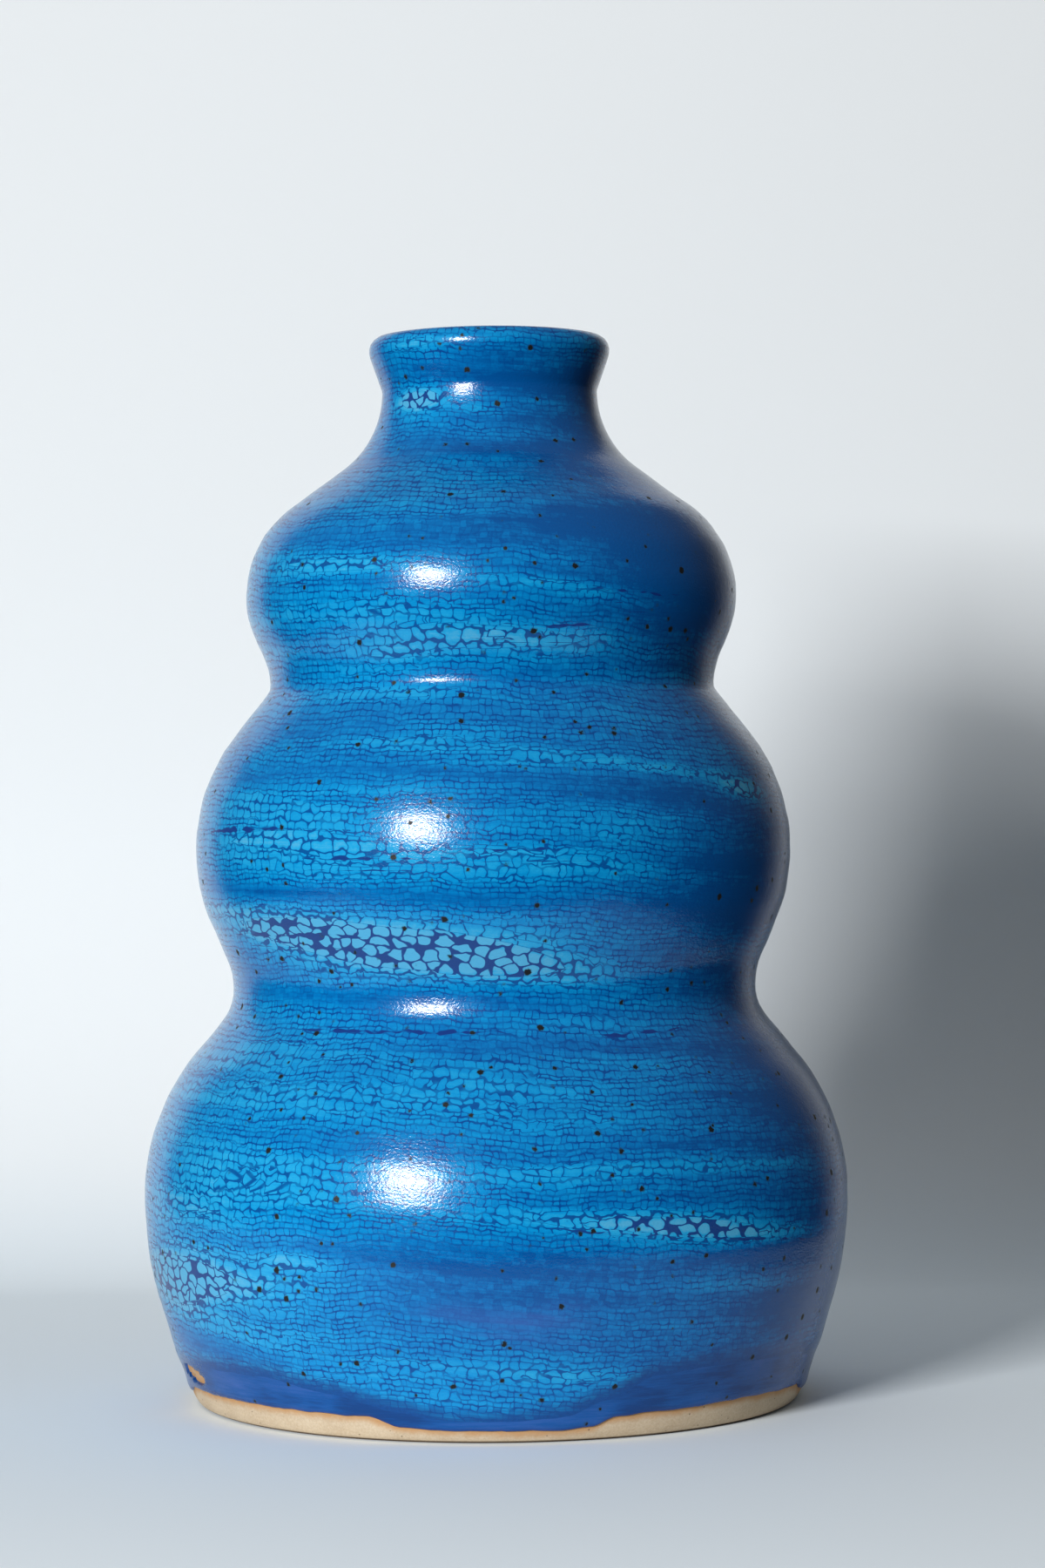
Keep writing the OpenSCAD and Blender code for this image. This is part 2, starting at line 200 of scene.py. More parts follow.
class VaseForm(bpy.types.PropertyGroup):
    """Sizes of the thrown clay, without its glaze."""
    foot_radius: length("Foot radius", "Radius at the top of the sponged bevel", 0.0574)
    foot_bevel_width: length("Bevel width", "Width of the sponged bevel", 0.0009)
    foot_bevel_height: length("Bevel height", "Height of the sponged bevel", 0.002)
    foot_ring_width: length("Ring width", "Width of the ring that stands on the table", 0.0075)
    foot_recess: length("Recess", "Depth of the trimmed hollow inside the ring", 0.003)
    foot_recess_slope: length("Recess slope", "Width of the slope up into the hollow", 0.0022)
    lower_lobe_radius: length("Lower lobe", "Radius at the widest line of the lower lobe", 0.0656)
    lower_lobe_height: length("Lower lobe height", "Height of that line", 0.0385)
    lower_waist_radius: length("Lower waist", "Radius at the lower waist", 0.0486)
    lower_waist_height: length("Lower waist height", "Height of the lower waist", 0.0774)
    middle_lobe_radius: length("Middle lobe", "Radius at the widest line of the middle lobe", 0.0554)
    middle_lobe_height: length("Middle lobe height", "Height of that line", 0.1033)
    upper_waist_radius: length("Upper waist", "Radius at the upper waist", 0.0412)
    upper_waist_height: length("Upper waist height", "Height of the upper waist", 0.1339)
    upper_lobe_radius: length("Upper lobe", "Radius at the widest line of the upper lobe", 0.0456)
    upper_lobe_height: length("Upper lobe height", "Height of that line", 0.1509)
    neck_radius: length("Neck", "Radius at the narrowest line of the neck", 0.0195)
    neck_height: length("Neck height", "Height of that line", 0.1896)
    lip_flare: length("Lip flare", "How far the lip flares out past the neck", 0.0024)
    lip_height: length("Lip height", "Height of the middle of the rolled lip", 0.1974)
    lip_roll: length("Lip roll", "Radius of the rolled lip", 0.0018)
    throat_length: length("Throat", "Length of the straight throat inside the neck", 0.004)
    wall_low: length("Low wall", "Thickness of the wall low down", 0.0056)
    wall_neck: length("Neck wall", "Thickness of the wall at the neck", 0.0039)
    floor_thickness: length("Floor", "Thickness of the floor over the hollow", 0.0064)
    floor_corner: length("Floor corner", "Radius of the corner between floor and wall", 0.008)


class VaseClay(bpy.types.PropertyGroup):
    """Colours of the bare stoneware."""
    buff: colour("Buff", "Bare clay", "b8a387")
    pale: colour("Pale", "Bare clay where it is rubbed", "cbb99e")
    amber: colour("Amber", "Clay that the glaze has flashed along its edge", "b58450")
    grain: colour("Grain", "Iron grains in the clay", "4a3424")


class VaseGlaze(bpy.types.PropertyGroup):
    """Thicknesses and colours of the three coats."""
    base_thickness: length("Base coat", "Thickness of the dark base coat", 0.00045)
    crackle_thickness: length("Crackle coat", "Thickness of the coat that shrank into cells", 0.00035)
    liner_thickness: length("Liner", "Thickness of the coat inside", 0.0004)
    throwing_depth: length("Throwing lines", "Depth of the throwing lines", 0.00034)
    fine_cell: length("Fine row", "Height of a row of the finest cells", 0.00102)
    middle_cell: length("Middle row", "Size of a middling cell", 0.00155)
    small_cell: length("Small cell", "Size of a small round cell", 0.0021)
    large_cell: length("Large cell", "Size of a large round cell", 0.0030)
    steps_round: IntProperty(
        name="Steps round", description="Facets of a full turn of the outer coat",
        default=400, min=64, max=500,
    )
    plain: colour("Plain", "Crackle coat where it is thinnest", "004c8e")
    thin: colour("Thin", "Crackle coat where it is thin", "006aac")
    sound: colour("Sound", "Crackle coat at its usual thickness", "0485c1")
    heavy: colour("Heavy", "Crackle coat where it is heavy", "1e98cb")
    heaviest: colour("Heaviest", "Crackle coat where it is heaviest", "49a2cb")
    crack: colour("Crack", "Base coat seen in fine cracks", "003f83")
    pool: colour("Pool", "Base coat seen in wide cracks", "0f2e74")
    base: colour("Base", "Base coat where it is bare", "0a4c8f")
    base_dark: colour("Base, dark", "Base coat where it is thick", "063a76")
    violet: colour("Violet", "Tinge of the base coat where it is thin", "365da4")
    liner: colour("Liner", "Coat inside the vase", "2a5687")
    speck: colour("Speck", "Iron specks that came through", "0b0f11")
    speck_rim: colour("Speck rim", "Halo round an iron speck", "23424e")


class VaseStudio(bpy.types.PropertyGroup):
    """The room, the table, the backdrop, the lamp and the camera."""
    room: colour("Room", "The pale room round the table, seen directly and in the glaze", "e9eef2")
    paper: colour("Paper", "The upright backdrop", "f0f4f6")
    table: colour("Table", "The sheet where it lies on the table", "ebf3f8")
    backdrop_distance: length("Backdrop", "From the axis back to the upright backdrop", 0.25, 3.0)
    backdrop_height: length("Backdrop height", "Height of its top edge", 0.42, 3.0)
    front_edge: length("Front edge", "From the axis forward to the table's edge", 0.178, 3.0)
    sweep_radius: length("Sweep", "Radius where the table turns up into the backdrop", 0.1, 1.0)
    lamp_distance: length("Lamp distance", "From the axis to the lamp", 1.3, 5.0)
    lamp_height: length("Lamp height", "Height of the lamp", 0.426, 3.0)
    lamp_width: length("Lamp width", "Width of the lamp", 0.41, 2.0)
    lamp_rise: length("Lamp rise", "Height of the lamp's face", 0.26, 2.0)
    lamp_aim: length("Lamp aim", "From the axis right to where the lamp points on the backdrop", 1.39, 5.0)
    paper_left: length("Paper left", "From the axis left to the edge of the sheet", 0.31, 5.0)
    paper_right: length("Paper right", "From the axis right to the edge of the sheet", 0.175, 5.0)
    lamp_turn: angle("Lamp turn", "Angle of the lamp round the vase from the front", -27)
    lamp_power: FloatProperty(
        name="Lamp power", description="Power of the lamp", default=23.2, min=0.0, unit="POWER",
    )
    fill: FloatProperty(
        name="Fill", description="Brightness of the light from all round", default=0.075, min=0.0, max=1.0,
    )
    camera_distance: length("Camera distance", "From the axis to the camera", 0.7557, 5.0)
    camera_height: length("Camera height", "Height of the camera", 0.116, 3.0)
    camera_side: length("Camera side", "How far right of the axis the camera stands", 0.0056)
    camera_tilt: angle("Camera tilt", "How far the camera leans over to the right", 0.49)


def smooth(value, low=0.0, high=1.0):
    """0 below low and 1 above high, with a soft start and end."""
    share = min(1.0, max(0.0, (value - low) / (high - low)))
    return share * share * (3 - 2 * share)


def arc(steps, turn, start=0.0):
    """Angles from start on, in even steps through a turn."""
    return [start + turn * i / steps for i in range(steps + 1)]


def off(p, t):
    """[r, z] of a point of a path, moved t away from the clay."""
    return (p[0] + t * p[2], p[1] + t * p[3])


def link(low, high, split, bent, steps=60):
    """[r, z, normal r, normal z] from low to high: a bend, a straight run and a counter bend."""
    side = abs(high[0] - low[0])
    rise = high[1] - low[1]
    way = 1 if high[0] > low[0] else -1
    radii = bent * (side * side + rise * rise) / (2 * side)
    low_r = radii * split
    high_r = radii - low_r
    run = math.sqrt(side * side - 2 * side * radii + rise * rise)
    turn = math.atan2(side - radii, rise) + math.atan2(radii, run)
    turns = [(math.cos(a), math.sin(a)) for a in arc(steps, turn)]
    points = [
        (low[0] + way * low_r * (1 - c), low[1] + low_r * s, c, -way * s)
        for c, s in (turns if low_r > 0 else turns[-1:])
    ]
    return points + [
        (high[0] - way * high_r * (1 - c), high[1] - high_r * s, c, -way * s) for c, s in turns[:0:-1]
    ]


def turned_in(points):
    """A path run backwards, with its normals turned to face the axis."""
    return [(p[0], p[1], -p[2], -p[3]) for p in reversed(points)]


class Outline:
    """Every path of the vase's section, from the sizes in the sidebar."""

    def __init__(self, form):
        self.form = form
        lines = [
            (form.foot_radius, form.foot_bevel_height),
            (form.lower_lobe_radius, form.lower_lobe_height),
            (form.lower_waist_radius, form.lower_waist_height),
            (form.middle_lobe_radius, form.middle_lobe_height),
            (form.upper_waist_radius, form.upper_waist_height),
            (form.upper_lobe_radius, form.upper_lobe_height),
            (form.neck_radius, form.neck_height),
        ]
        self.flank = []
        for low, high, bends in zip(lines, lines[1:], FLANK_BENDS):
            self.flank += link(low, high, *bends)
        lip = (form.neck_radius + form.lip_flare, form.lip_height)
        self.flare = link(lines[-1], lip, *LIP_BENDS)
        throat = (form.neck_radius - form.wall_neck, form.neck_height + form.throat_length)
        inner_lip = (lip[0] - 2 * form.lip_roll, form.lip_height)
        self.mouth = turned_in(link(throat, inner_lip, *LIP_BENDS))
        self.throat_end = [(throat[0], form.neck_height, -1.0, 0.0)]
        self.lip = lip
        self.inside = self.throat_end + self.wall() + self.corner()
        self.table = self.radius_table()

    def roll(self, last, steps=48):
        """The rolled lip, from its widest line over the top, through an angle in degrees."""
        r = self.form.lip_roll
        turns = [(math.cos(a), math.sin(a)) for a in arc(steps, math.radians(last))]
        return [(self.lip[0] - r + r * c, self.lip[1] + r * s, c, s) for c, s in turns]

    def wall(self):
        """Inside of the wall, which thins evenly towards the neck."""
        form = self.form
        points = []
        for p in reversed(self.flank[1:]):
            share = max(0.0, p[1] - form.lower_lobe_height) / (form.neck_height - form.lower_lobe_height)
            t = form.wall_low + (form.wall_neck - form.wall_low) * share
            points.append((*off(p, -t), -p[2], -p[3]))
        return points

    def corner(self, steps=24):
        """The round corner inside, and the floor to its middle."""
        form = self.form
        lean = math.atan2(-self.flank[0][3], self.flank[0][2])
        floor_z = form.foot_recess + form.floor_thickness
        middle_z = floor_z + form.floor_corner
        reach = form.wall_low + form.floor_corner
        middle_r = (
            form.foot_radius - reach * math.cos(lean)
            + (middle_z - form.foot_bevel_height - reach * math.sin(lean)) * math.tan(lean)
        )
        points = []
        for a in arc(steps, math.pi / 2 - lean, lean):
            c = math.cos(a)
            s = math.sin(a)
            points.append((middle_r + form.floor_corner * c, middle_z - form.floor_corner * s, -c, s))
        points.append((0.0, floor_z, 0.0, 1.0))
        return points

    def radius_table(self):
        """The clay's radius every half millimetre of height."""
        table = []
        i = 0
        for step in range(400):
            z = step * 0.5 * MM
            while i < len(self.flank) - 2 and self.flank[i + 1][1] < z:
                i += 1
            p, q = self.flank[i], self.flank[i + 1]
            table.append(p[0] + (q[0] - p[0]) * (z - p[1]) / max(q[1] - p[1], 1e-9))
        return table

    def radius(self, z):
        """The clay's radius at a height, from the table."""
        at = min(max(z / (0.5 * MM), 0.0), len(self.table) - 2.0)
        i = int(at)
        return self.table[i] + (self.table[i + 1] - self.table[i]) * (at - i)


def walk(path, spacing):
    """A path taken again in even steps. spacing gives the step at a point and a distance from the start."""
    way = [0.0]
    for p, q in zip(path, path[1:]):
        way.append(way[-1] + math.dist(p[:2], q[:2]))
    total = way[-1]
    stops = [0.0]
    i = 0
    while stops[-1] < total:
        while i < len(way) - 2 and way[i + 1] < stops[-1]:
            i += 1
        stops.append(stops[-1] + spacing(path[i][1], stops[-1]))
    stops = [s * total / stops[-1] for s in stops]
    points = []
    i = 0
    for s in stops:
        while i < len(way) - 2 and way[i + 1] < s:
            i += 1
        span = max(way[i + 1] - way[i], 1e-12)
        share = min(1.0, (s - way[i]) / span)
        p, q = path[i], path[i + 1]
        mixed = [a + (b - a) * share for a, b in zip(p, q)]
        size = math.hypot(mixed[2], mixed[3])
        points.append((mixed[0], mixed[1], mixed[2] / size, mixed[3] / size, s))
    return points


def hollow(z):
    """Whether the outline is hollow near this height."""
    return any(low < z < high for low, high in HOLLOWS)


def unseen_step(z, way):
    """Steps of a coat's unseen side: short where the outline is hollow, or a step would cut the corner."""
    if z < 30 * MM or z > NARROW:
        return 2.0 * MM
    return 3.4 * MM if hollow(z) else 8 * MM


def above(path, z):
    """The part of a rising path above a height, with a first point at that height."""
    for i in range(len(path) - 1):
        p, q = path[i], path[i + 1]
        if q[1] > z:
            share = (z - p[1]) / (q[1] - p[1])
            return [tuple(a + (b - a) * share for a, b in zip(p, q))] + path[i + 1:]
    return path


def edge_height(points, turn):
    """The height of a coat's lower edge at an angle in degrees, smoothly from point to point, in metres."""
    turn = (turn + 180) % 360 - 180
    ring = points + [(points[0][0] + 360, points[0][1])]
    for (a, low), (b, high) in zip(ring, ring[1:]):
        if a <= turn <= b:
            return (low + (high - low) * smooth(turn, a, b)) * MM
    return points[0][1] * MM


def put_down():
    """Leaves edit mode and selects nothing."""
    if bpy.context.object and bpy.context.object.mode != "OBJECT":
        bpy.ops.object.mode_set(mode="OBJECT")
    bpy.ops.object.select_all(action="DESELECT")


def take(piece):
    """Makes one piece the only one selected."""
    put_down()
    piece.select_set(True)
    bpy.context.view_layer.objects.active = piece


def edit_all():
    """Opens the active piece in edit mode, with all of it selected."""
    bpy.ops.object.mode_set(mode="EDIT")
    bpy.ops.mesh.select_all(action="SELECT")


def draw_wire(name, points):
    """A wire drawn from one corner to the next."""
    put_down()
    bpy.ops.mesh.primitive_plane_add(size=MM, location=(0, 0, 0))
    piece = bpy.context.object
    piece.name = name
    piece.data.name = name
    edit_all()
    bpy.ops.mesh.merge(type="CENTER")
    bpy.ops.transform.translate(value=points[0])
    for p, q in zip(points, points[1:]):
        step = [b - a for a, b in zip(p, q)]
        bpy.ops.mesh.extrude_vertices_move(TRANSFORM_OT_translate={"value": step})
    bpy.ops.object.mode_set(mode="OBJECT")
    return piece


def turn_piece(name, points, ups, steps):
    """Turns a section [r, z] once round the axis, maps it, closes its seams and faces it outwards."""
    piece = draw_wire(name, [(r, 0, z) for r, z in points])
    mark(piece, "along", ups)
    take(piece)
    turning = piece.modifiers.new("turning", "SCREW")
    turning.axis = "Z"
    turning.angle = 2 * math.pi
    turning.steps = steps
    turning.render_steps = steps
    turning.use_smooth_shade = True
    bpy.ops.object.modifier_apply(modifier=turning.name)
    lay_out(piece, ups, steps)
    edit_all()
    bpy.ops.mesh.remove_doubles(threshold=0.002 * MM)
    bpy.ops.mesh.normals_make_consistent(inside=False)
    bpy.ops.object.mode_set(mode="OBJECT")
    return piece


def turn_coat(name, shown, path, back, inner, share, steps):
    """Turns a coat: its shown side, and back down its unseen side, inner away from the clay.

    share is the part of the map that the shown side takes.
    """
    points = shown + [off(p, inner) for p in reversed(back)] + shown[:1]
    ups = [share * p[4] / path[-1][4] for p in path]
    ups += [0.99 - (0.98 - share) * p[4] / back[-1][4] for p in reversed(back)] + [1.0]
    return turn_piece(name, points, ups, steps)


def mark(piece, name, values):
    """Keeps one number for each point of a piece."""
    layer = piece.data.attributes.get(name) or piece.data.attributes.new(name, "FLOAT", "POINT")
    layer.data.foreach_set("value", values)


def marks(piece, name):
    """Reads those numbers back."""
    values = [0.0] * len(piece.data.vertices)
    piece.data.attributes[name].data.foreach_get("value", values)
    return values


def lay_out(piece, ups, steps):
    """A map for bakes: the turn across and the place along the section up."""
    rows = len(ups)
    corners = [0] * len(piece.data.loops)
    piece.data.loops.foreach_get("vertex_index", corners)
    values = []
    for i in range(0, len(corners), 4):
        four = corners[i:i + 4]
        closing = max(four) - min(four) > 2 * rows
        for corner in four:
            step, row = divmod(corner, rows)
            values.append(1.0 if closing and step == 0 else step / steps)
            values.append(ups[row])
    layer = piece.data.uv_layers.new(name="OFBake")
    layer.data.foreach_set("uv", values)


def corners_of(piece):
    """Every point of a piece."""
    flat = [0.0] * (3 * len(piece.data.vertices))
    piece.data.vertices.foreach_get("co", flat)
    return list(zip(flat[0::3], flat[1::3], flat[2::3]))


def set_corners(piece, points):
    """Moves every point of a piece."""
    piece.data.vertices.foreach_set("co", [c for point in points for c in point])
    piece.data.update()


def turn_of(x, y):
    """The angle round the vase from the front, in degrees, towards the right."""
    return math.degrees(math.atan2(x, -y))


def brushed_edge(heights, turn, seed):
    """The same edge with the small waves that a brush leaves."""
    x = math.sin(math.radians(turn))
    y = math.cos(math.radians(turn))
    edge = edge_height(heights, turn)
    edge += 0.20 * MM * noise.noise(Vector((14 * x, 14 * y, seed)))
    edge += 0.10 * MM * noise.noise(Vector((41 * x, 41 * y, seed + 7)))
    return edge


def raise_edge(piece, outline, heights, low, reach, seed):
    """Moves a coat's lower rows up or down the clay, so that its edge follows the brushed one."""
    edges = {}
    moved = []
    clear = []
    for x, y, z in corners_of(piece):
        rise = z - low
        if rise >= reach:
            moved.append((x, y, z))
            clear.append(rise)
            continue
        turn = turn_of(x, y)
        step = round(turn, 1)
        if step not in edges:
            edges[step] = brushed_edge(heights, turn, seed)
        edge = edges[step]
        new_z = z + (edge - low) * (1 - smooth(rise, EDGE_HELD, reach))
        r = math.hypot(x, y)
        grown = 1 + (outline.radius(new_z) - outline.radius(z)) / r
        moved.append((x * grown, y * grown, new_z))
        clear.append(max(0.0, new_z - edge))
    set_corners(piece, moved)
    mark(piece, "above_edge", clear)


def in_finger_mark(x, y, z):
    """How far a point lies outside the finger mark, 1 at its rim and 0 in its middle."""
    turn = math.radians(turn_of(x, y) - MARK_TURN)
    along = math.hypot(x, y) * math.sin(turn)
    if math.cos(turn) < 0:
        return 9.0
    up = z - MARK_HEIGHT - MARK_SLOPE * along
    wobble = 0.12 * noise.noise(Vector((along / MM, up / MM, 3.0)))
    return math.hypot(2 * along / MARK_LENGTH, 2 * up / MARK_RISE) * (1 + wobble)


def press_finger_mark(piece, depth):
    """Takes a coat down below the clay where fingers held the vase."""
    moved = []
    for x, y, z in corners_of(piece):
        away = in_finger_mark(x, y, z) if z < 14 * MM else 9.0
        if away < 1.5:
            r = math.hypot(x, y)
            left = 1 - depth * (1 - smooth(away, 0.92, 1.22)) / r
            moved.append((x * left, y * left, z))
        else:
            moved.append((x, y, z))
    set_corners(piece, moved)


def throwing_lines(piece, depth, seed):
    """Shallow rings and hollows of a hand on turning clay, pressed inwards only."""
    texture = bpy.data.textures.new("throwing_lines", "CLOUDS")
    texture.noise_scale = 1.0
    texture.noise_depth = 2
    put_down()
    bpy.ops.object.empty_add(location=(0.31 * seed, 0.17 * seed, 0))
    gauge = bpy.context.object
    gauge.scale = (0.085, 0.085, 0.0042)
    take(piece)
    lines = piece.modifiers.new("throwing lines", "DISPLACE")
    lines.texture = texture
    lines.texture_coords = "OBJECT"
    lines.texture_coords_object = gauge
    lines.vertex_group = "outside"
    lines.mid_level = 1.0
    lines.strength = depth
    bpy.ops.object.modifier_apply(modifier=lines.name)
    bpy.data.objects.remove(gauge)
    bpy.data.textures.remove(texture)


def weigh(piece, name, weights):
    """A vertex group with one weight for each point."""
    group = piece.vertex_groups.new(name=name)
    for i, weight in enumerate(weights):
        if weight > 0:
            group.add([i], weight, "REPLACE")


def brushed(strokes, points):
    """The sum of the strokes at each point."""
    layers = {}
    for stroke in strokes:
        height, half_turn, half_height, slope = stroke[1:5]
        reach = STROKE_REACH * (half_height + abs(slope) * half_turn)
        for layer in range(int((height - reach) // LAYER), int((height + reach) // LAYER) + 1):
            layers.setdefault(layer, []).append(stroke)
    loads = []
    for x, y, z in points:
        at = turn_of(x, y)
        height_mm = z / MM
        load = 0.0
        for turn, height, half_turn, half_height, slope, weight in layers.get(int(height_mm // LAYER), ()):
            across = (at - turn + 180) % 360 - 180
            if abs(across) < STROKE_REACH * half_turn:
                up = (height_mm - height - slope * across) / half_height
                if abs(up) < STROKE_REACH:
                    load += weight * math.exp(-STROKE_FADE * ((across / half_turn) ** 2 + up * up))
        loads.append(load)
    return loads


def opened(rifts, points):
    """For each point: half the width of the nearest rift there, and how far above its line the point is."""
    widths = []
    aways = []
    for x, y, z in points:
        at = turn_of(x, y)
        width = 0.0
        away = 3.0
        for turn, height, half_turn, half_width, slope in rifts:
            across = (at - turn + 180) % 360 - 180
            up = z / MM - height - slope * across
            if abs(across) < half_turn and abs(up) < abs(away):
                away = up
                width = half_width * (1 - (across / half_turn) ** 2)
        widths.append(width)
        aways.append(away)
    return widths, aways


def hand_in(piece, material, node):
    """Smooths a finished piece but for its crisp edges, and lets it stand for its CAD node."""
    piece.data.materials.append(material)
    take(piece)
    bpy.ops.object.shade_smooth_by_angle(angle=math.radians(48))
    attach(piece, "root")
    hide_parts(node)


class Value:
    """What comes out of one step of a recipe, so that a recipe can be written in sums."""

    def __init__(self, mix, socket):
        self.mix = mix
        self.socket = socket

    def __add__(self, other):
        return self.mix.sum("ADD", self, other)

    def __sub__(self, other):
        return self.mix.sum("SUBTRACT", self, other)

    def __rsub__(self, other):
        return self.mix.sum("SUBTRACT", other, self)

    def __mul__(self, other):
        return self.mix.sum("MULTIPLY", self, other)

    def __truediv__(self, other):
        return self.mix.sum("DIVIDE", self, other)

    def __abs__(self):
        return self.mix.sum("ABSOLUTE", self)


def paint(shade):
    """A colour with its alpha, or a value as it is."""
    return shade if isinstance(shade, Value) else (*shade, 1.0)


class Recipe:
    """The nodes of one material or world, each call one step. Lengths in it are in mm."""

    def __init__(self, holder):
        holder.use_nodes = True
        holder.node_tree.nodes.clear()
        self.holder = holder
        self.tree = holder.node_tree

    def node(self, kind, given=(), out=None, **settings):
        """One node, with its inputs given by place or name. Gives the output out, or all of them by name."""
        made = self.tree.nodes.new(kind)
        for key, value in settings.items():
            setattr(made, key, value)
        for place, value in given.items() if isinstance(given, dict) else enumerate(given):
            if isinstance(value, Value):
                self.tree.links.new(value.socket, made.inputs[place])
            else:
                made.inputs[place].default_value = value
        if out is None:
            return {socket.name: Value(self, socket) for socket in made.outputs}
        return Value(self, made.outputs[out])

    def sum(self, operation, *given):
        return self.node("ShaderNodeMath", given, 0, operation=operation)

    def vector(self, operation, *given):
        return self.node("ShaderNodeVectorMath", given, "Vector", operation=operation)

    def scaled(self, a, factor):
        return self.node("ShaderNodeVectorMath", {0: a, "Scale": factor}, "Vector", operation="SCALE")

    def axes(self, *parts):
        return self.node("ShaderNodeCombineXYZ", parts, 0)

    def split(self, a):
        """The three parts of a vector or colour, as a list."""
        return list(self.node("ShaderNodeSeparateXYZ", (a,)).values())

    def cloud(self, where, size, detail=2.0, rough=0.5, out="Fac"):
        """Soft noise. size is that of its clouds, or one for each axis."""
        if isinstance(size, tuple):
            where = self.vector("MULTIPLY", where, [1 / s for s in size])
        else:
            where = self.scaled(where, 1 / size)
        given = {"Vector": where, "Scale": 1.0, "Detail": detail, "Roughness": rough}
        return self.node("ShaderNodeTexNoise", given, out, noise_dimensions="3D")

    def cells(self, where, feature="F1", loose=1.0, sizes="3D"):
        """Cells of size 1, along a line, on a plane or in space."""
        given = {"W" if sizes == "1D" else "Vector": where, "Scale": 1.0, "Randomness": loose}
        return self.node("ShaderNodeTexVoronoi", given, voronoi_dimensions=sizes, feature=feature)

    def fade(self, value, low, high, start=0.0, end=1.0, way="SMOOTHSTEP"):
        """start below low, end above high, and smooth between them."""
        return self.node("ShaderNodeMapRange", (value, low, high, start, end), 0, interpolation_type=way)

    def pick(self, share, a, b):
        """a where share is 0 and b where it is 1, for numbers."""
        return self.node("ShaderNodeMix", {0: share, 2: a, 3: b}, 0, data_type="FLOAT", clamp_factor=True)

    def blend(self, share, a, b):
        """The same for colours."""
        given = {0: share, 6: paint(a), 7: paint(b)}
        return self.node("ShaderNodeMix", given, 2, data_type="RGBA", blend_type="MIX", clamp_factor=True)

    def ramp(self, value, stops):
        """A colour for each value, from stops of a value and its colour."""
        shade = self.node("ShaderNodeValToRGB", (value,), 0)
        elements = shade.socket.node.color_ramp.elements
        for element, (place, tone) in zip(elements, (stops[0], stops[-1])):
            element.position = place
            element.color = paint(tone)
        for place, tone in stops[1:-1]:
            elements.new(place).color = paint(tone)
        return shade

    def read(self, name):
        """A number that the piece keeps for each of its points."""
        return self.node("ShaderNodeAttribute", (), "Fac", attribute_name=name)

    def place(self):
        """Where a point of the piece is, in mm."""
        return self.scaled(self.node("ShaderNodeTexCoord")["Object"], 1 / MM)

    def surface(self, shade, rough, relief, shine=0.5):
        """The glossy or matt surface with its relief."""
        bump = self.node("ShaderNodeBump", {"Strength": 1.0, "Distance": MM, "Height": relief}, 0)
        return self.node("ShaderNodeBsdfPrincipled", {
            "Base Color": shade, "Roughness": rough, "IOR": 1.45, "Specular IOR Level": shine, "Normal": bump,
        }, 0)

    def finish(self, surface, kind="ShaderNodeOutputMaterial"):
        self.node(kind, (surface,))
        return self.holder


def new_recipe(name):
    return Recipe(bpy.data.materials.new(name))


def speckle(mix, place, glaze, shade, halo):
    """Burns iron specks through a glaze, each with a halo. Gives the new colour and how dark it is."""
    ragged = mix.vector("ADD", place, mix.scaled(mix.cloud(place, 1 / 2.2, 1.0, out="Color"), 0.55))
    found = mix.cells(mix.scaled(ragged, 1 / SPECK_ROOM))
    chance, width = mix.split(found["Color"])[:2]
    x, z = mix.split(place)[::2]
    crowd = mix.cloud(place, 42, 1.0) * 1.2 + x * 0.0016 + mix.fade(z, 50.0, 120.0, 0.06, 0.0)
    rare = mix.fade(crowd + chance * 0.80, 0.99, 1.01)
    size = (width * width * 0.36 + 0.25) * rare
    beyond = found["Distance"] * SPECK_ROOM - size
    dark = mix.fade(beyond, -0.04, 0.09, 1.0, 0.0) * rare
    rim = mix.fade(beyond, 0.0, 0.30, 1.0, 0.0) * rare
    shade = mix.blend(rim * halo, shade, glaze.speck_rim)
    return mix.blend(dark, shade, glaze.speck), dark


def glaze_relief(mix, place):
    """The slight orange peel and fine ripple of a fired glaze."""
    return mix.cloud(place, (2.4, 2.4, 1.4), 1.0) * 0.030 + mix.cloud(place, (0.52, 0.52, 0.36), 1.0) * 0.040


